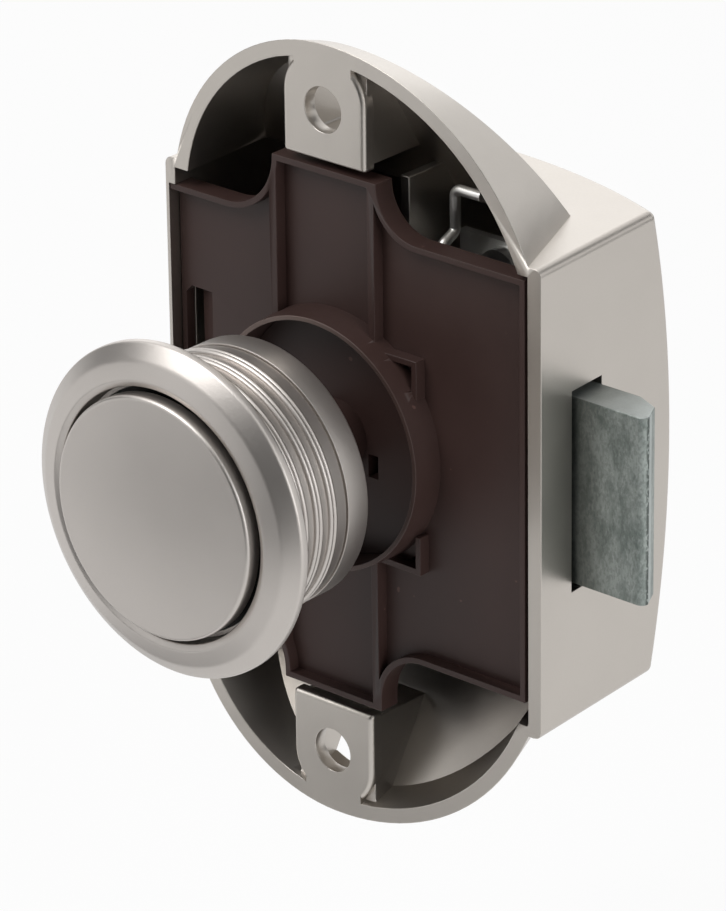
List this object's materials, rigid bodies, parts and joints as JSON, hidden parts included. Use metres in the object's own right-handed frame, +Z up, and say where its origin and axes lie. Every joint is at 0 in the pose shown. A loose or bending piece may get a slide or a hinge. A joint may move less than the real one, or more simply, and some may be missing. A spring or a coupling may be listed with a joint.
{
  "type": "pushbutton door lock",
  "caption": "Rim lock for furniture doors: arched die-cast housing with inner cover, push button in a ribbed rosette, and a side bolt that follows the button",
  "frame": {"origin": "on the button's axis, in the plane of the door's inner face, where the rim of the housing lies", "axes": "+X towards the side where the bolt comes out, +Y from the button back to the housing, +Z up, along the line of the two screw holes"},
  "size_m": [0.0525, 0.0485, 0.0766],
  "materials": {
    "nickel_die_cast": "satin nickel plating on a zinc die-casting",
    "nickel_satin": "fine satin nickel plating",
    "brown_plastic": "dark brown moulded plastic, matt with faint rub marks",
    "black_plastic": "black moulded plastic",
    "zinc_die_cast": "bare zinc, dull and mottled",
    "steel": "zinc-plated turned steel",
    "spring_steel": "bright spring steel"
  },
  "bodies": {
    "case": {"housing": "nickel_die_cast", "cover_plate": "brown_plastic", "rosette": "nickel_satin", "rosette_band": "nickel_satin", "rosette_liner": "black_plastic", "spring_guide_pin": "steel", "bolt_guide": "black_plastic", "latch_bracket": "spring_steel", "latch_wire": "spring_steel", "bracket_screw": "steel"},
    "button": {"button_cap": "nickel_satin", "cap_insert": "black_plastic", "button_stem": "brown_plastic", "stem_nut": "steel", "stem_screw": "steel", "drive_slider": "brown_plastic", "return_spring": "spring_steel"},
    "bolt": {"bolt": "zinc_die_cast", "drive_pin": "steel", "pin_clip_upper": "spring_steel", "pin_clip_lower": "spring_steel"}
  },
  "joints": [
    {"name": "button_slide", "type": "slide", "parent": "case", "child": "button", "axis": [0, -1, 0], "range_m": [-0.0012, 0.01], "deforming": ["return_spring"]},
    {"name": "bolt_slide", "type": "slide", "parent": "case", "child": "bolt", "axis": [-1, 0, 0], "range_m": [-0.00092, 0.00761]}
  ],
  "couplings": [
    {"joint": "bolt_slide", "follows": "button_slide", "ratio": 0.76}
  ]
}
